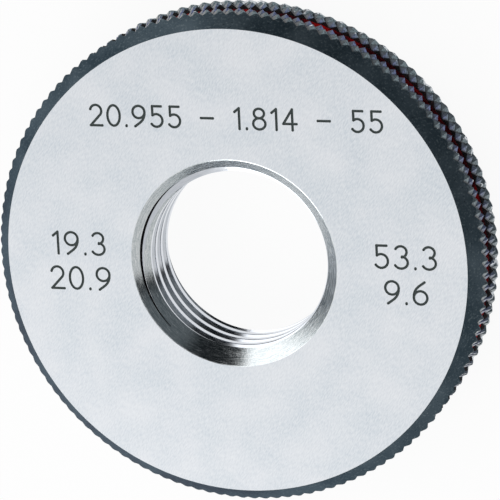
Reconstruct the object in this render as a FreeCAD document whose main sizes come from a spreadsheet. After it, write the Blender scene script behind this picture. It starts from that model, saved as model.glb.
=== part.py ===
import FreeCAD, Part
import os
import Sketcher

# A "not go" thread ring gauge, turned from one piece of steel: a flat ring with a bore, a countersink at
# each mouth, bevelled edges, and a diamond-knurled rim with a groove turned round its middle.
# Both faces are alike, so one half is made above the plane z = 0 and mirrored, and the whole ring is then
# lifted until its back face lies on that plane. The bore is plain here, at the radius of the thread's crests.

# Millimetres and degrees. The outer diameter is taken over the knurl's crests.
SIZES = {
    "outer_diameter": "53.3",
    "thickness": "9.6",
    "face_diameter": "50.4",
    "bevel_height": "1.65",
    "bore_diameter": "19.29",
    "mouth_diameter": "22.5",
    "mouth_angle": "90",
    "groove_width": "1.7",
    "groove_depth": "1.0",
    "knurl_teeth": "130",
    "knurl_angle": "28.5",
    "knurl_depth": "0.45",
    "crest_gap": "0.1",
    "turning_stock": "0.12",
}

doc = FreeCAD.newDocument("thread_ring_gauge")
sheet = doc.addObject("Spreadsheet::Sheet", "Sizes")
for row, (alias, value) in enumerate(SIZES.items(), start=1):
    sheet.set(f"A{row}", alias)
    sheet.set(f"B{row}", value)
    sheet.setAlias(f"B{row}", alias)
doc.recompute()


def number(expression):
    """The plain value of an expression on the sheet."""
    result = sheet.evalExpression(expression)
    return float(getattr(result, "Value", result))


def origin_part(body, role):
    """The body's own origin plane or axis that has this role."""
    return next(part for part in body.Origin.OriginFeatures if part.Role == role)


def add_outline(body, name, role, height, corners):
    """Adds a closed outline over an origin plane, with each corner bound to two expressions on the sheet."""
    sketch = body.newObject("Sketcher::SketchObject", name)
    sketch.AttachmentSupport = [(origin_part(body, role), "")]
    sketch.MapMode = "FlatFace"
    sketch.setExpression("AttachmentOffset.Base.z", height)
    spots = [FreeCAD.Vector(number(across), number(up), 0) for across, up in corners]
    for start, end in zip(spots, spots[1:] + spots[:1]):
        sketch.addGeometry(Part.LineSegment(start, end), False)
    for line in range(len(spots)):
        sketch.addConstraint(Sketcher.Constraint("Coincident", line, 2, (line + 1) % len(spots), 1))
    for line, (across, up) in enumerate(corners):
        for kind, expression in (("DistanceX", across), ("DistanceY", up)):
            held = sketch.addConstraint(Sketcher.Constraint(kind, line, 1, number(expression)))
            sketch.setExpression(f"Constraints[{held}]", expression)
    return sketch


def turn_upper_half(body):
    """Revolves half of the ring's section: bore, countersink, face, bevel, rim and half of its groove."""
    # The rim is turned a little proud of the knurl, whose cuts then leave sharp crests and no flats.
    rim = "(Sizes.outer_diameter / 2 + Sizes.turning_stock)"
    bevel_width = "(Sizes.outer_diameter - Sizes.face_diameter) / 2"
    bevel_end = f"Sizes.bevel_height * (1 + Sizes.turning_stock / ({bevel_width}))"
    mouth_depth = "(Sizes.mouth_diameter - Sizes.bore_diameter) / 2 / tan(Sizes.mouth_angle * 0.5deg)"
    groove_floor = "Sizes.outer_diameter / 2 - Sizes.groove_depth"
    corners = [
        ("Sizes.bore_diameter / 2", "0"),
        ("Sizes.bore_diameter / 2", f"Sizes.thickness / 2 - {mouth_depth}"),
        ("Sizes.mouth_diameter / 2", "Sizes.thickness / 2"),
        ("Sizes.face_diameter / 2", "Sizes.thickness / 2"),
        (rim, f"Sizes.thickness / 2 - {bevel_end}"),
        (rim, "Sizes.groove_width / 2"),
        (groove_floor, "Sizes.groove_width / 2"),
        (groove_floor, "0"),
    ]
    section = add_outline(body, "section", "XZ_Plane", "0", corners)
    blank = body.newObject("PartDesign::Revolution", "blank")
    blank.Profile = section
    blank.ReferenceAxis = (section, ["V_Axis"])
    blank.Angle = 360
    doc.recompute()


def cut_knurl(body, hand, slant):
    """Cuts one hand of the knurl: a straight V groove across the land, repeated round the rim."""
    # A V is as wide as one tooth where it passes the outer diameter, so neighbours meet at that radius.
    # The topmost crests lie just inside the bevel's edge, and the hands cross half a diamond below them.
    reach = "Sizes.groove_depth"
    half_tooth = "pi * Sizes.outer_diameter / (2 * Sizes.knurl_teeth)"
    half_width = f"{half_tooth} * (1 + {reach} / Sizes.knurl_depth)"
    half_diamond = f"{half_tooth} / tan(Sizes.knurl_angle * 1deg)"
    crossing = f"Sizes.thickness / 2 - Sizes.bevel_height - Sizes.crest_gap - {half_diamond}"
    corners = [
        ("Sizes.outer_diameter / 2 - Sizes.knurl_depth", "0"),
        (f"Sizes.outer_diameter / 2 + {reach}", half_width),
        (f"Sizes.outer_diameter / 2 + {reach}", f"-{half_width}"),
    ]
    section = add_outline(body, f"knurl_{hand}_section", "XY_Plane", crossing, corners)
    doc.recompute()
    groove = body.newObject("PartDesign::Pocket", f"knurl_{hand}_groove")
    groove.Profile = section
    groove.Refine = False
    groove.UseCustomVector = True
    groove.Direction = FreeCAD.Vector(0, slant, 1)
    groove.setExpression("Direction.y", f"{slant} * tan(Sizes.knurl_angle * 1deg)")
    groove.AlongSketchNormal = True
    # The cut runs out past the bevel at one end, and into the rim's groove at the other.
    groove.SideType = "Two sides"
    groove.setExpression("Length", f"Sizes.thickness / 2 - ({crossing})")
    groove.setExpression("Length2", crossing)
    doc.recompute()
    knurl = body.newObject("PartDesign::PolarPattern", f"knurl_{hand}")
    knurl.Originals = [groove]
    knurl.Refine = False
    knurl.Axis = (origin_part(body, "Z_Axis"), [""])
    knurl.Angle = 360
    knurl.setExpression("Occurrences", "Sizes.knurl_teeth")
    body.Tip = knurl
    doc.recompute()


def mirror_half(body):
    """Mirrors the upper half about the ring's middle plane, and lifts the ring onto its back face."""
    whole = body.newObject("PartDesign::Mirrored", "whole")
    whole.TransformMode = "Whole shape"
    whole.MirrorPlane = (origin_part(body, "XY_Plane"), [""])
    body.Tip = whole
    body.setExpression("Placement.Base.z", "Sizes.thickness / 2")
    doc.recompute()


ring = doc.addObject("PartDesign::Body", "ring_gauge")
ring.Label = "ring_gauge"
turn_upper_half(ring)
cut_knurl(ring, "right", 1)
cut_knurl(ring, "left", -1)
mirror_half(ring)

for item in doc.Objects:
    if "Invalid" in item.State or "Error" in item.State:
        raise RuntimeError(f"{item.Name} failed: {item.State}")
if ring.Shape.isNull() or not ring.Shape.isValid() or len(ring.Shape.Solids) != 1:
    raise RuntimeError("the ring isn't one valid solid")
os.makedirs("parts", exist_ok=True)
ring.Shape.exportStep(f"parts/{ring.Label}.step")
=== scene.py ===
import bpy
import math
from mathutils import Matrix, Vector


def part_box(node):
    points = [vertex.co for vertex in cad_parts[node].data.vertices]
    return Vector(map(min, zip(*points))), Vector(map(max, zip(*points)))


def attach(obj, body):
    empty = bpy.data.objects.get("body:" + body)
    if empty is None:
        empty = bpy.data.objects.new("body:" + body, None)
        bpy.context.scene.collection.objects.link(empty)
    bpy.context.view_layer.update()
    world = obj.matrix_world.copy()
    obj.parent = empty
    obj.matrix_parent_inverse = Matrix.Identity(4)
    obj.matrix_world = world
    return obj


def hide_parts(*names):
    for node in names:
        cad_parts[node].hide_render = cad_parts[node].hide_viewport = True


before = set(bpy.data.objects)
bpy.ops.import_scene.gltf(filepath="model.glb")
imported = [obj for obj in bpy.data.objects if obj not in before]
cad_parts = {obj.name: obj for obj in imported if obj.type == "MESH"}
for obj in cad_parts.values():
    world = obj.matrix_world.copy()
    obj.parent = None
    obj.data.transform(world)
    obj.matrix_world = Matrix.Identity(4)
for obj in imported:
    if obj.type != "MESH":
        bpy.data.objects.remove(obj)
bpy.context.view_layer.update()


# The ring is one piece of hardened tool steel, turned with a bevel at each edge and a countersink at each
# mouth. It is blued, its faces are ground bright, and its rim is knurled, with a groove round the middle.
# Its upper half is turned from a half-section and cut out of a knurled bar, and the lower half mirrors it.
MM = 0.001
low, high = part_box("ring_gauge")
thickness = high.z - low.z
half_height = thickness / 2
outer_radius = 26.65 * MM
face_radius = 25.2 * MM
bevel_height = 1.65 * MM
bevel_width = outer_radius - face_radius
bevel_foot = half_height - bevel_height
mouth_radius = 11.25 * MM
blank_bore_radius = 9.3 * MM
edge_break = 0.04 * MM
groove_width = 1.7 * MM
groove_depth = 1.0 * MM
groove_radius = outer_radius - groove_depth
knurl_teeth = 130
tooth_angle = 2 * math.pi / knurl_teeth
steps_per_tooth = 4
weld_gap = 0.002 * MM


def draw(name, corners):
    """Draws a line from corner to corner, as an object of that name."""
    bpy.ops.object.select_all(action="DESELECT")
    bpy.ops.mesh.primitive_plane_add(size=MM)
    drawn = bpy.context.object
    drawn.name = name
    edit_all()
    bpy.ops.mesh.merge(type="CENTER")
    bpy.ops.transform.translate(value=corners[0])
    for start, end in zip(corners, corners[1:]):
        bpy.ops.mesh.extrude_vertices_move(TRANSFORM_OT_translate={"value": Vector(end) - Vector(start)})
    bpy.ops.object.mode_set(mode="OBJECT")
    return drawn


def edit_all():
    """Opens the active mesh for editing, with all of it selected."""
    bpy.ops.object.mode_set(mode="EDIT")
    bpy.ops.mesh.select_all(action="SELECT")


def use(piece):
    """Selects one piece alone and makes it the active one."""
    bpy.ops.object.select_all(action="DESELECT")
    piece.select_set(True)
    bpy.context.view_layer.objects.active = piece


def shape_with(piece, cutter, operation, crossing_itself=False):
    """Cuts the piece with a second object, whose material the new faces keep, and removes that object."""
    use(piece)
    cut = piece.modifiers.new("cut", "BOOLEAN")
    cut.operation = operation
    cut.object = cutter
    cut.solver = "EXACT"
    cut.material_mode = "TRANSFER"
    cut.use_self = crossing_itself
    bpy.ops.object.modifier_apply(modifier=cut.name)
    bpy.data.objects.remove(cutter)


# The half-section goes up the bore and the countersink, over the face, down the bevel and the rim, and into
# the groove. Turning starts a quarter of a step round, so that no edge of it lies on an edge of the bar.
ring = draw("ring", [
    (blank_bore_radius, 0, 0),
    (blank_bore_radius, 0, half_height - (mouth_radius - blank_bore_radius)),
    (mouth_radius - edge_break, 0, half_height - edge_break),
    (mouth_radius + edge_break, 0, half_height),
    (face_radius - edge_break, 0, half_height),
    (face_radius + edge_break * bevel_width / bevel_height, 0, half_height - edge_break),
    (outer_radius, 0, bevel_foot),
    (outer_radius, 0, groove_width / 2),
    (groove_radius, 0, groove_width / 2),
    (groove_radius, 0, 0),
])
turned_steps = knurl_teeth * steps_per_tooth
start_angle = tooth_angle / steps_per_tooth / 4
edit_all()
bpy.ops.mesh.edge_face_add()
bpy.ops.mesh.delete(type="ONLY_FACE")
bpy.ops.mesh.select_all(action="SELECT")
bpy.ops.transform.rotate(value=start_angle, orient_axis="Z", center_override=(0, 0, 0))
bpy.ops.mesh.spin(steps=turned_steps, angle=2 * math.pi, center=(0, 0, 0), axis=(0, 0, 1))
bpy.ops.mesh.select_all(action="SELECT")
bpy.ops.mesh.remove_doubles(threshold=weld_gap)
bpy.ops.mesh.normals_make_consistent(inside=False)
bpy.ops.object.mode_set(mode="OBJECT")


def start_finish(name, metallic):
    """A new material, its nodes, a function that links two sockets, and its Principled shader."""
    finish = bpy.data.materials.new(name)
    finish.use_nodes = True
    tree = finish.node_tree
    shader = tree.nodes["Principled BSDF"]
    shader.inputs["Metallic"].default_value = metallic
    return finish, tree.nodes, tree.links.new, shader


def feed(link, value, socket):
    """Links a socket to the one its value comes from, or sets a plain value on it."""
    if isinstance(value, bpy.types.NodeSocket):
        link(value, socket)
    else:
        socket.default_value = value


def reckon(nodes, link, operation, *values):
    """A sum on numbers."""
    step = nodes.new("ShaderNodeMath")
    step.operation = operation
    for value, socket in zip(values, step.inputs):
        feed(link, value, socket)
    return step.outputs["Value"]


def reckon_ways(nodes, link, operation, *ways):
    """A sum on places or directions, which gives another one, or their length or dot product."""
    step = nodes.new("ShaderNodeVectorMath")
    step.operation = operation
    for way, socket in zip(ways, step.inputs):
        feed(link, way, socket)
    return step.outputs["Value" if operation in ("LENGTH", "DOT_PRODUCT") else "Vector"]


def noise(nodes, link, place, scale, detail=3, harshness=0.5):
    """A noise pattern, with its scale in waves to the metre and the depth and strength of its fine part."""
    pattern = nodes.new("ShaderNodeTexNoise")
    pattern.inputs["Scale"].default_value = scale
    pattern.inputs["Detail"].default_value = detail
    pattern.inputs["Roughness"].default_value = harshness
    link(place, pattern.inputs["Vector"])
    return pattern.outputs["Fac"]


def spread(nodes, link, value, low_in, high_in, low_out, high_out):
    """Takes a value from one range to another, and holds it there."""
    ranged = nodes.new("ShaderNodeMapRange")
    ranged.inputs["From Min"].default_value = low_in
    ranged.inputs["From Max"].default_value = high_in
    ranged.inputs["To Min"].default_value = low_out
    ranged.inputs["To Max"].default_value = high_out
    link(value, ranged.inputs["Value"])
    return ranged.outputs["Result"]


def blend(nodes, link, share, first, second):
    """Mixes two colours, or a socket's colour and another, by the share of the second."""
    mixed = nodes.new("ShaderNodeMix")
    mixed.data_type = "RGBA"
    link(share, mixed.inputs["Factor"])
    for name, colour in (("A", first), ("B", second)):
        socket = next(one for one in mixed.inputs if one.name == name and one.type == "RGBA")
        feed(link, (*colour, 1) if isinstance(colour, tuple) else colour, socket)
    return next(one for one in mixed.outputs if one.type == "RGBA")


def bump(nodes, link, shader, height, strength, distance):
    """Lets the light on the surface follow a pattern of small heights."""
    raised = nodes.new("ShaderNodeBump")
    raised.inputs["Strength"].default_value = strength
    raised.inputs["Distance"].default_value = distance
    link(height, raised.inputs["Height"])
    link(raised.outputs["Normal"], shader.inputs["Normal"])


def on_piece(nodes):
    """Where a point is on the piece."""
    return nodes.new("ShaderNodeTexCoord").outputs["Object"]


def split(nodes, link, place):
    """The X, Y and Z of a place, by name."""
    parts = nodes.new("ShaderNodeSeparateXYZ")
    link(place, parts.inputs["Vector"])
    return parts.outputs


def from_axis(nodes, link, place):
    """How far a place is from the axis that the ring is turned on."""
    return reckon_ways(nodes, link, "LENGTH", reckon_ways(nodes, link, "MULTIPLY", place, (1, 1, 0)))


def turned_lines(nodes, link, place, radian):
    """A place unrolled round the axis, a radian to that length, where noise makes fine turned lines."""
    parts = split(nodes, link, place)
    turn = reckon(nodes, link, "ARCTAN2", parts["Y"], parts["X"])
    unrolled = nodes.new("ShaderNodeCombineXYZ")
    link(reckon(nodes, link, "MULTIPLY", turn, radian), unrolled.inputs["X"])
    link(from_axis(nodes, link, place), unrolled.inputs["Y"])
    link(parts["Z"], unrolled.inputs["Z"])
    return unrolled.outputs["Vector"]


def make_ground_steel():
    """The faces: ground and lapped bright, with short fine scratches that lean a little to the right."""
    finish, nodes, link, shader = start_finish("ground_steel", 1)
    dull, bright, scratch = (0.545, 0.59, 0.635), (0.63, 0.655, 0.69), (0.80, 0.82, 0.84)
    place = on_piece(nodes)
    leaning = nodes.new("ShaderNodeMapping")
    leaning.vector_type = "TEXTURE"
    leaning.inputs["Rotation"].default_value = (0, 0, math.radians(-27))
    leaning.inputs["Scale"].default_value = (1, 3.6, 1)
    link(place, leaning.inputs["Vector"])
    scratches = noise(nodes, link, leaning.outputs["Vector"], 7600, 3)
    clouds = noise(nodes, link, place, 200, 4)
    cloudy = blend(nodes, link, spread(nodes, link, clouds, 0.35, 0.65, 0, 1), dull, bright)
    scratched = blend(nodes, link, spread(nodes, link, scratches, 0.35, 0.7, 0, 0.62), cloudy, scratch)
    link(scratched, shader.inputs["Base Color"])
    link(spread(nodes, link, scratches, 0.3, 0.7, 0.42, 0.3), shader.inputs["Roughness"])
    bump(nodes, link, shader, scratches, 0.3, 0.004 * MM)
    return finish


def make_turned_steel():
    """The countersinks: turned, with fine lines round them and a mottled film over those."""
    finish, nodes, link, shader = start_finish("turned_steel", 1)
    dark_line, pale_line, film_tint = (0.58, 0.63, 0.65), (0.86, 0.89, 0.90), (0.40, 0.47, 0.49)
    place = on_piece(nodes)
    lines = noise(nodes, link, turned_lines(nodes, link, place, 1.2 * MM), 9000, 3)
    film = noise(nodes, link, place, 5200, 4)
    lined = blend(nodes, link, spread(nodes, link, lines, 0.38, 0.62, 0, 1), dark_line, pale_line)
    filmed = blend(nodes, link, spread(nodes, link, film, 0.5, 0.64, 0, 0.32), lined, film_tint)
    link(filmed, shader.inputs["Base Color"])
    link(spread(nodes, link, lines, 0.3, 0.7, 0.14, 0.28), shader.inputs["Roughness"])
    bump(nodes, link, shader, film, 0.6, 0.012 * MM)
    return finish


def make_blued_steel():
    """The bevels: turned smooth and blued nearly black, with a fine grain and a few pale specks."""
    finish, nodes, link, shader = start_finish("blued_steel", 0.6)
    deep_blue, thin_blue, speck = (0.030, 0.047, 0.060), (0.068, 0.092, 0.110), (0.17, 0.21, 0.23)
    place = on_piece(nodes)
    grain = noise(nodes, link, place, 4400, 5)
    patches = noise(nodes, link, place, 220, 3)
    patchy = blend(nodes, link, spread(nodes, link, patches, 0.35, 0.65, 0, 1), deep_blue, thin_blue)
    grainy = blend(nodes, link, spread(nodes, link, grain, 0.54, 0.72, 0, 0.6), patchy, speck)
    link(grainy, shader.inputs["Base Color"])
    link(spread(nodes, link, grain, 0.3, 0.7, 0.26, 0.4), shader.inputs["Roughness"])
    shader.inputs["Specular Tint"].default_value = (0.24, 0.33, 0.42, 1)
    shader.inputs["Specular IOR Level"].default_value = 0.2
    bump(nodes, link, shader, grain, 0.15, 0.006 * MM)
    return finish


def make_knurled_steel():
    """The knurl: blued too, more violet by the groove, with painted shade near black in its furrows and on
    the sides that face onward round the rim. It is rubbed bright here and there, and painted glints lighten
    it most by the bevels."""
    finish, nodes, link, shader = start_finish("knurled_steel", 1)
    blue, violet, dark_grain = (0.155, 0.20, 0.22), (0.12, 0.145, 0.27), (0.012, 0.018, 0.026)
    painted_shade_side, furrow_shade, bright = (0.010, 0.014, 0.020), (0.004, 0.005, 0.008), (0.78, 0.82, 0.86)
    place = on_piece(nodes)
    away = from_axis(nodes, link, place)
    above_middle = reckon(nodes, link, "SUBTRACT", split(nodes, link, place)["Z"], half_height)
    from_middle = reckon(nodes, link, "ABSOLUTE", above_middle)
    violet_start, violet_end = groove_width / 2 + 0.2 * MM, groove_width / 2 + 1.2 * MM
    by_groove = spread(nodes, link, from_middle, violet_start, violet_end, 1, 0)
    tinted = blend(nodes, link, by_groove, blue, violet)
    grain = noise(nodes, link, place, 4200, 4, 0.6)
    grainy = blend(nodes, link, spread(nodes, link, grain, 0.46, 0.60, 0, 0.7), tinted, dark_grain)
    # Painted shade: the sides of the pyramids that face onward round the rim are darkened, as if turned from
    # the light.
    onward = reckon_ways(nodes, link, "CROSS_PRODUCT", (0, 0, 1), place)
    unit_onward = reckon_ways(nodes, link, "NORMALIZE", onward)
    normal = nodes.new("ShaderNodeTexCoord").outputs["Normal"]
    facing = reckon_ways(nodes, link, "DOT_PRODUCT", normal, unit_onward)
    side_shaded = blend(nodes, link, spread(nodes, link, facing, -0.25, 0.3, 0, 0.68), grainy, painted_shade_side)
    # Painted shade: the furrows are darkened toward their floors, where shade falls between the pyramids.
    furrow_floor, furrow_side = outer_radius - 0.42 * MM, outer_radius - 0.3 * MM
    furrow_shade_share = spread(nodes, link, away, furrow_floor, furrow_side, 0.9, 0)
    furrow_shaded = blend(nodes, link, furrow_shade_share, side_shaded, furrow_shade)
    tip_foot, tip_top = outer_radius - 0.12 * MM, outer_radius - 0.01 * MM
    on_tip = spread(nodes, link, away, tip_foot, tip_top, 0, 0.1)
    # Painted highlight: within 0.4 mm of the bevel's foot the knurl is lightened as painted glints, on top of
    # the rubbed wear on tips and at random. The rubbed share also lowers the metallic, so that these spots
    # read bright whatever they reflect.
    bevel_glint = spread(nodes, link, from_middle, bevel_foot - 0.4 * MM, bevel_foot, 0, 0.15)
    wear = reckon(nodes, link, "ADD", noise(nodes, link, place, 1000, 2), on_tip)
    wear_and_glint = spread(nodes, link, reckon(nodes, link, "ADD", wear, bevel_glint), 0.69, 0.75, 0, 1)
    link(blend(nodes, link, wear_and_glint, furrow_shaded, bright), shader.inputs["Base Color"])
    link(spread(nodes, link, wear_and_glint, 0, 1, 1, 0.5), shader.inputs["Metallic"])
    link(spread(nodes, link, grain, 0.3, 0.7, 0.16, 0.3), shader.inputs["Roughness"])
    bump(nodes, link, shader, grain, 0.5, 0.02 * MM)
    return finish


def make_groove_paint():
    """The rim's groove: black steel darkened by painted shade, with red paint run into its bottom, which
    stops short of its edges.
    """
    finish, nodes, link, shader = start_finish("groove_paint", 0)
    dark_red, bright_red, bare_black_and_shade = (0.07, 0.001, 0.006), (0.55, 0.002, 0.003), (0.004, 0.005, 0.007)
    place = on_piece(nodes)
    runs = noise(nodes, link, place, 900, 3)
    edge = reckon(nodes, link, "MULTIPLY_ADD", runs, 0.4 * MM, from_axis(nodes, link, place))
    paint_edge, edge_fade = groove_radius + 0.68 * MM, 0.02 * MM
    # The bare wall beyond the paint is blackened steel darkened to near black, partly as painted shade in the
    # groove.
    bare = spread(nodes, link, edge, paint_edge - edge_fade, paint_edge + edge_fade, 0, 1)
    patches = noise(nodes, link, place, 260, 2)
    red = blend(nodes, link, spread(nodes, link, patches, 0.5, 0.66, 0, 1), dark_red, bright_red)
    link(blend(nodes, link, bare, red, bare_black_and_shade), shader.inputs["Base Color"])
    link(spread(nodes, link, runs, 0.3, 0.7, 0.35, 0.5), shader.inputs["Roughness"])
    bump(nodes, link, shader, runs, 0.4, 0.03 * MM)
    return finish


ground_steel = make_ground_steel()
turned_steel = make_turned_steel()
blued_steel = make_blued_steel()
knurled_steel = make_knurled_steel()
groove_paint = make_groove_paint()
finishes = [ground_steel, turned_steel, blued_steel, knurled_steel, groove_paint]
for finish in finishes:
    ring.data.materials.append(finish)

# The knurl is pressed into the bar that the ring is cut from, in rows half a diamond apart, with every second
# point of a row pushed in. The last row goes in further, and carries the furrows out over the bevel. The bar
# is a little thicker than the ring, which leaves each pyramid a small flat at its tip.
knurl_angle = math.radians(28.5)
knurl_depth = 0.45 * MM
run_out_depth = 0.8 * MM
crest_gap = 0.1 * MM
tip_cut = 0.07 * MM
rows = 4
bar_radius = outer_radius + tip_cut
row_height = math.pi * outer_radius / knurl_teeth / math.tan(knurl_angle)
first_row = bevel_foot - crest_gap - (rows - 1) * row_height
bpy.ops.object.select_all(action="DESELECT")
bpy.ops.mesh.primitive_circle_add(vertices=2 * knurl_teeth, radius=bar_radius, location=(0, 0, first_row))
bar = bpy.context.object
bar.name = "knurled_bar"
bpy.ops.object.transform_apply()
edit_all()
for rise in [row_height] * rows + [half_height]:
    bpy.ops.mesh.extrude_region_move(TRANSFORM_OT_translate={"value": (0, 0, rise)})
bpy.ops.mesh.select_all(action="DESELECT")
bpy.ops.object.mode_set(mode="OBJECT")
for pressed_rows, depth in ((range(rows), knurl_depth), ((rows,), run_out_depth)):
    for point in bar.data.vertices:
        row = round((point.co.z - first_row) / row_height)
        place = round(math.atan2(point.co.y, point.co.x) / tooth_angle * 2)
        point.select = (row + place) % 2 == 0 and row in pressed_rows
    bpy.ops.object.mode_set(mode="EDIT")
    pressed = (outer_radius - depth) / bar_radius
    bpy.ops.transform.resize(value=(pressed, pressed, 1), center_override=(0, 0, 0))
    bpy.ops.object.mode_set(mode="OBJECT")
edit_all()
bpy.ops.mesh.quads_convert_to_tris(quad_method="SHORTEST_DIAGONAL")
bpy.ops.mesh.select_all(action="DESELECT")
bpy.ops.mesh.select_non_manifold()
bpy.ops.mesh.edge_face_add()
bpy.ops.mesh.select_all(action="SELECT")
bpy.ops.mesh.normals_make_consistent(inside=False)
bpy.ops.object.mode_set(mode="OBJECT")
bar.data.materials.append(knurled_steel)
shape_with(ring, bar, "INTERSECT")

# Each turned surface gets its own finish. The flat underside of the half then goes, the mirrored half closes
# the ring, and the ring is lifted until it lies on its back face.
for face in ring.data.polygons:
    across = face.center.xy.length
    if face.material_index == finishes.index(knurled_steel):
        continue
    if across < mouth_radius:
        finish = turned_steel
    elif across < face_radius - edge_break / 4:
        finish = ground_steel
    elif face.center.z < groove_width / 2 + edge_break:
        finish = groove_paint
    else:
        finish = blued_steel
    face.material_index = finishes.index(finish)
bpy.ops.object.mode_set(mode="EDIT")
bpy.ops.mesh.select_all(action="DESELECT")
bpy.ops.object.mode_set(mode="OBJECT")
for face in ring.data.polygons:
    face.select = face.normal.z < -0.999 and face.center.z < edge_break
bpy.ops.object.mode_set(mode="EDIT")
bpy.ops.mesh.delete(type="FACE")
bpy.ops.object.mode_set(mode="OBJECT")
mirror = ring.modifiers.new("lower_half", "MIRROR")
mirror.use_axis = (False, False, True)
mirror.merge_threshold = weld_gap
bpy.ops.object.modifier_apply(modifier=mirror.name)
edit_all()
bpy.ops.mesh.normals_make_consistent(inside=False)
bpy.ops.transform.translate(value=(0, 0, half_height))
bpy.ops.object.mode_set(mode="OBJECT")

# The thread runs right through the bore, right-hand, 14 turns to the inch. Its crests are flat, and its roots
# are cut clear, as on a gauge that bears on the flanks alone, and darkened near black as painted shade. A tap
# of that form cuts it.
pitch = 25.4 * MM / 14
flank_angle = math.radians(27.5)
flank_middle_radius = 9.8255 * MM
crest_radius = 9.645 * MM
root_radius = 10.57 * MM
root_half = 0.14 * MM
relief_radius = 10.51 * MM
relief_half = 0.2 * MM
corner = 0.05 * MM
groove_start = 0.67 * MM
turn_steps = 144
turns_below, spare_turns = 2, 3
turn_weld_gap = 0.001 * MM


def along(radius):
    """Half the width of the thread's groove at that radius."""
    return pitch / 4 + (flank_middle_radius - radius) * math.tan(flank_angle)


half_form = [
    (crest_radius, pitch / 2),
    (crest_radius, along(crest_radius) + corner),
    (crest_radius + corner, along(crest_radius + corner)),
    (relief_radius - 3 * corner, along(relief_radius - 3 * corner)),
    (relief_radius, relief_half),
    (root_radius, root_half),
]
form = [(radius, -rise) for radius, rise in half_form]
form += [(radius, rise) for radius, rise in reversed(half_form)]
first_middle = groove_start - turns_below * pitch
tap = draw("tap", [(radius, 0, first_middle + rise) for radius, rise in form])
screw = tap.modifiers.new("turns", "SCREW")
screw.axis = "Z"
screw.angle = 2 * math.pi
screw.screw_offset = pitch
screw.iterations = math.ceil(thickness / pitch) + spare_turns
screw.steps = screw.render_steps = turn_steps
screw.use_merge_vertices = True
screw.merge_threshold = turn_weld_gap
bpy.ops.object.modifier_apply(modifier=screw.name)
clear = 0.4 * MM
for level, side in ((-clear, -1), (thickness + clear, 1)):
    edit_all()
    bpy.ops.mesh.remove_doubles(threshold=turn_weld_gap)
    bpy.ops.mesh.bisect(
        plane_co=(0, 0, level), plane_no=(0, 0, side), clear_outer=True, use_fill=True, threshold=1e-8
    )
    bpy.ops.object.mode_set(mode="OBJECT")
edit_all()
bpy.ops.mesh.normals_make_consistent(inside=False)
bpy.ops.object.mode_set(mode="OBJECT")


def make_thread_steel():
    """The thread: lapped bright on its flanks and flat crests, with painted shade near black down in its
    roots.
    """
    finish, nodes, link, shader = start_finish("thread_steel", 1)
    dark_line, pale_line = (0.68, 0.72, 0.78), (0.78, 0.81, 0.86)
    crest, root = (0.70, 0.73, 0.78), (0.004, 0.005, 0.006)
    crest_end, flank_start = 9.69 * MM, 9.73 * MM
    flank_end, root_shade_start = 10.42 * MM, 10.48 * MM
    place = on_piece(nodes)
    away = from_axis(nodes, link, place)
    lines = noise(nodes, link, turned_lines(nodes, link, place, 1.5 * MM), 7000, 3)
    flanks = blend(nodes, link, spread(nodes, link, lines, 0.35, 0.65, 0, 1), dark_line, pale_line)
    lapped = blend(nodes, link, spread(nodes, link, away, crest_end, flank_start, 0, 1), crest, flanks)
    # Painted shade: beyond the flanks the roots are darkened near black, where shade falls deep in the
    # thread.
    root_shaded = blend(nodes, link, spread(nodes, link, away, flank_end, root_shade_start, 0, 1), lapped, root)
    link(root_shaded, shader.inputs["Base Color"])
    link(spread(nodes, link, lines, 0.3, 0.7, 0.08, 0.16), shader.inputs["Roughness"])
    bump(nodes, link, shader, lines, 0.15, 0.004 * MM)
    return finish


tap.data.materials.append(make_thread_steel())
shape_with(ring, tap, "DIFFERENCE")


# The marked face carries a few plain numbers. A round-nosed engraving cutter cuts them in strokes of one
# width, and they are filled with dark ink.
stroke_radius = 0.168 * MM
stroke_depth = 0.093 * MM
ball_segments = 16
crease_angle = math.radians(14)


def bow(centre, across, up, start, end):
    """Points along part of an ellipse from one angle to another, in degrees, about 15 degrees apart."""
    count = max(3, round(abs(end - start) / 15))
    angles = [math.radians(start + (end - start) * place / count) for place in range(count + 1)]
    return [(centre[0] + across * math.cos(angle), centre[1] + up * math.sin(angle)) for angle in angles]


# Each sign is its width and its strokes, over a height of 1. The gap between signs is a share of that height.
letter_gap = 0.28
signs = {
    "0": (0.62, [bow((0.31, 0.5), 0.31, 0.5, 0, 360)]),
    "1": (0.30, [[(0.04, 0.82), (0.26, 1), (0.26, 0)]]),
    "2": (0.60, [bow((0.3, 0.71), 0.28, 0.29, 165, -38) + [(0.02, 0), (0.6, 0)]]),
    "3": (0.60, [bow((0.29, 0.75), 0.26, 0.25, 150, -80), bow((0.29, 0.27), 0.3, 0.27, 80, -150)]),
    "4": (0.66, [[(0.46, 0), (0.46, 1), (0.02, 0.3), (0.66, 0.3)]]),
    "5": (0.60, [[(0.54, 1), (0.1, 1)] + bow((0.29, 0.31), 0.3, 0.31, 128, -145)]),
    "6": (0.62, [bow((0.31, 0.3), 0.3, 0.3, 0, 360), [(0.5, 1)] + bow((0.62, 0.34), 0.61, 0.6, 130, 184)]),
    "8": (0.60, [bow((0.3, 0.27), 0.3, 0.27, 0, 360), bow((0.3, 0.77), 0.25, 0.23, 0, 360)]),
    "9": (0.62, [bow((0.31, 0.7), 0.3, 0.3, 0, 360), [(0.12, 0)] + bow((0.0, 0.66), 0.61, 0.6, -50, 4)]),
    ".": (0.08, [[(0.04, 0), (0.04, 0.03)]]),
    "-": (0.62, [[(0.02, 0.48), (0.6, 0.48)]]),
    " ": (0.46, []),
}


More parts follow.
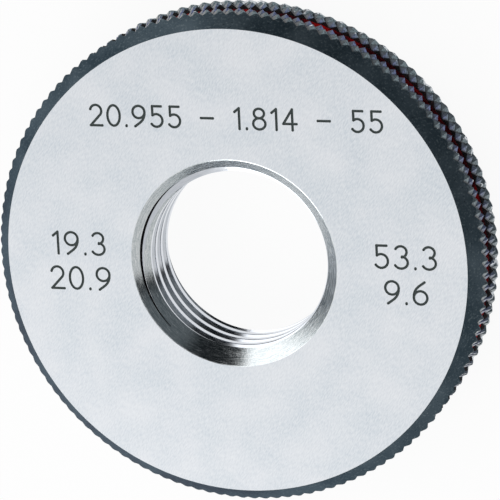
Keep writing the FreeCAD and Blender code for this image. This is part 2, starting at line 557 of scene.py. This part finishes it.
def smooth_runs(strokes):
    """Splits strokes at their sharp corners."""
    sharp = math.radians(32)
    runs = []
    for stroke in strokes:
        run = [stroke[0]]
        for before, spot, after in zip(stroke, stroke[1:], stroke[2:]):
            run.append(spot)
            came, goes = Vector(spot) - Vector(before), Vector(after) - Vector(spot)
            if came.angle(goes) > sharp:
                runs.append(run)
                run = [spot]
        runs.append(run + [stroke[-1]])
    return runs


def cutter_pass(spots):
    """What the round cutter sweeps along one run of spots: a tube, and a ball at each open end."""
    closed = (Vector(spots[0]) - Vector(spots[-1])).length < stroke_radius / 10
    points = spots[:-1] if closed else spots
    path = bpy.data.curves.new("stroke", "CURVE")
    path.dimensions = "3D"
    path.bevel_depth = stroke_radius
    path.bevel_resolution = 2
    path.use_fill_caps = True
    run = path.splines.new("POLY")
    run.points.add(len(points) - 1)
    for point, spot in zip(run.points, points):
        point.co = (*spot, 1)
    run.use_cyclic_u = closed
    passed = bpy.data.objects.new("stroke", path)
    bpy.context.collection.objects.link(passed)
    use(passed)
    bpy.ops.object.convert(target="MESH")
    if closed:
        return [passed]
    swept = [passed]
    for end in (spots[0], spots[-1]):
        bpy.ops.object.select_all(action="DESELECT")
        bpy.ops.mesh.primitive_uv_sphere_add(
            segments=ball_segments, ring_count=ball_segments // 2, radius=stroke_radius, location=end
        )
        bpy.ops.object.transform_apply()
        swept.append(bpy.context.object)
    return swept


def engrave(line, middle, baseline, height):
    """What the cutter sweeps for one line of signs, centred at that middle."""
    widths = [signs[sign][0] for sign in line]
    start = middle - (sum(widths) + letter_gap * (len(line) - 1)) * height / 2
    level = thickness + stroke_radius - stroke_depth
    swept = []
    for sign, width in zip(line, widths):
        for run in smooth_runs(signs[sign][1]):
            spots = [(start + across * height, baseline + up * height, level) for across, up in run]
            swept += cutter_pass(spots)
        start += (width + letter_gap) * height
    return swept


def make_mark_ink():
    """The ink in the marks: dark grey-green and matt, a little uneven."""
    finish, nodes, link, shader = start_finish("mark_ink", 0)
    thick_ink, thin_ink = (0.016, 0.028, 0.028), (0.045, 0.062, 0.060)
    uneven = noise(nodes, link, on_piece(nodes), 3000, 3)
    link(blend(nodes, link, uneven, thick_ink, thin_ink), shader.inputs["Base Color"])
    link(spread(nodes, link, uneven, 0.3, 0.7, 0.5, 0.7), shader.inputs["Roughness"])
    bump(nodes, link, shader, uneven, 0.2, 0.005 * MM)
    return finish


cutter_passes = []
for line, middle, baseline, height in (
    ("20.955 - 1.814 - 55", 0.8 * MM, 14.62 * MM, 2.2 * MM),
    ("53.3", 18.6 * MM, 0.2 * MM, 2.4 * MM),
    ("9.6", 18.6 * MM, -3.6 * MM, 2.4 * MM),
    ("19.3", -17.15 * MM, 0.45 * MM, 2.4 * MM),
    ("20.9", -17.15 * MM, -3.4 * MM, 2.4 * MM),
):
    cutter_passes += engrave(line, middle, baseline, height)
bpy.ops.object.select_all(action="DESELECT")
for passed in cutter_passes:
    passed.select_set(True)
marks_cut = cutter_passes[0]
bpy.context.view_layer.objects.active = marks_cut
bpy.ops.object.join()
marks_cut.data.materials.clear()
marks_cut.data.materials.append(make_mark_ink())
edit_all()
bpy.ops.mesh.remove_doubles(threshold=1e-7)
bpy.ops.mesh.normals_make_consistent(inside=False)
bpy.ops.object.mode_set(mode="OBJECT")
shape_with(ring, marks_cut, "DIFFERENCE", crossing_itself=True)
use(ring)
bpy.ops.object.shade_smooth_by_angle(angle=crease_angle)
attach(ring, "root")
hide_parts("ring_gauge")


# The gauge lies on a plain pale table top. To the camera, in the metal and through glass, the table looks
# nearly white all over, and it darkens only a little in the gauge's shadow.
bpy.ops.object.select_all(action="DESELECT")
bpy.ops.mesh.primitive_plane_add(size=3)
table_top = bpy.context.object
table_top.name = "table_top"
table_white, nodes, link, shader = start_finish("table_white", 0)
shader.inputs["Base Color"].default_value = (0.92, 0.92, 0.92, 1)
shader.inputs["Roughness"].default_value = 0.8
shader.inputs["Specular IOR Level"].default_value = 0
rays = nodes.new("ShaderNodeLightPath")
seen = rays.outputs["Is Camera Ray"]
for kind in ("Is Glossy Ray", "Is Transmission Ray"):
    seen = reckon(nodes, link, "ADD", seen, rays.outputs[kind])
white_share = spread(nodes, link, seen, 0, 1, 0, 0.93)
white = nodes.new("ShaderNodeEmission")
lifted = nodes.new("ShaderNodeMixShader")
link(white_share, lifted.inputs["Fac"])
link(shader.outputs["BSDF"], lifted.inputs[1])
link(white.outputs["Emission"], lifted.inputs[2])
link(lifted.outputs["Shader"], nodes["Material Output"].inputs["Surface"])
table_top.data.materials.append(table_white)


# Soft light comes from all round, as in a white tent. The tent is open on the camera's side, to a dim room.
# Next to the opening it has a bright pane, and the wall opposite the pane is dim below and bright above.
tent = bpy.data.worlds.new("tent")
bpy.context.scene.world = tent
tent.use_nodes = True
nodes, link = tent.node_tree.nodes, tent.node_tree.links.new
cloth, bright_cloth, dim_cloth = (0.94, 0.94, 0.94), (1.3, 1.3, 1.3), (0.66, 0.66, 0.66)
pane, dark_room, room_middle = (1.5, 1.5, 1.5), (0.008, 0.010, 0.012), (0.11, 0.125, 0.135)
way = nodes.new("ShaderNodeTexCoord").outputs["Generated"]
level_way = reckon_ways(nodes, link, "NORMALIZE", reckon_ways(nodes, link, "MULTIPLY", way, (1, 1, 0)))
rise = split(nodes, link, way)["Z"]


def sideways(middle, half_width, soft):
    """How far a direction is within a sector of the tent: its middle, how far it goes each side and how far
    its edges fade, in degrees."""
    toward = (math.cos(math.radians(middle)), math.sin(math.radians(middle)), 0)
    along_middle = reckon_ways(nodes, link, "DOT_PRODUCT", level_way, toward)
    outside, within = math.cos(math.radians(half_width + soft)), math.cos(math.radians(half_width - soft))
    return spread(nodes, link, along_middle, outside, within, 0, 1)


def up_to(top, share):
    """That share, but only up to a height above the horizon, in degrees."""
    soft = 3
    upper, lower = math.sin(math.radians(top + soft)), math.sin(math.radians(top - soft))
    return reckon(nodes, link, "MULTIPLY", share, spread(nodes, link, rise, lower, upper, 1, 0))


side_lit = blend(nodes, link, sideways(-62, 40, 20), cloth, bright_cloth)
walls = blend(nodes, link, up_to(62, sideways(-52, 50, 12)), side_lit, dim_cloth)
paned = blend(nodes, link, up_to(54, sideways(138, 27, 3)), walls, pane)
room = blend(nodes, link, sideways(38, 27, 6), dark_room, room_middle)
link(blend(nodes, link, up_to(63, sideways(54, 57, 3)), paned, room), nodes["Background"].inputs["Color"])

# A square soft lamp stands on the far side from the opening and gives the gauge its faint shadow.
lamp_place = Vector((-0.32, -0.46, 0.325))
bpy.ops.object.light_add(type="AREA", location=lamp_place)
lamp = bpy.context.object
lamp.name = "soft_lamp"
lamp.data.shape = "SQUARE"
lamp.data.size = 0.45
lamp.data.energy = 1.3
lamp.rotation_euler = lamp_place.to_track_quat("Z", "Y").to_euler()

# The camera looks down on the marked face from its upper right.
camera_place = (98.95 * MM, 92.51 * MM, 324.74 * MM)
camera_turn = (-16.158, 16.420, -2.582)
bpy.ops.object.camera_add(location=camera_place, rotation=[math.radians(turn) for turn in camera_turn])
camera = bpy.context.object
camera.data.sensor_width = 36
camera.data.lens = 235.2
camera.data.clip_start = 0.01
bpy.context.scene.camera = camera
bpy.context.scene.view_settings.view_transform = "Standard"
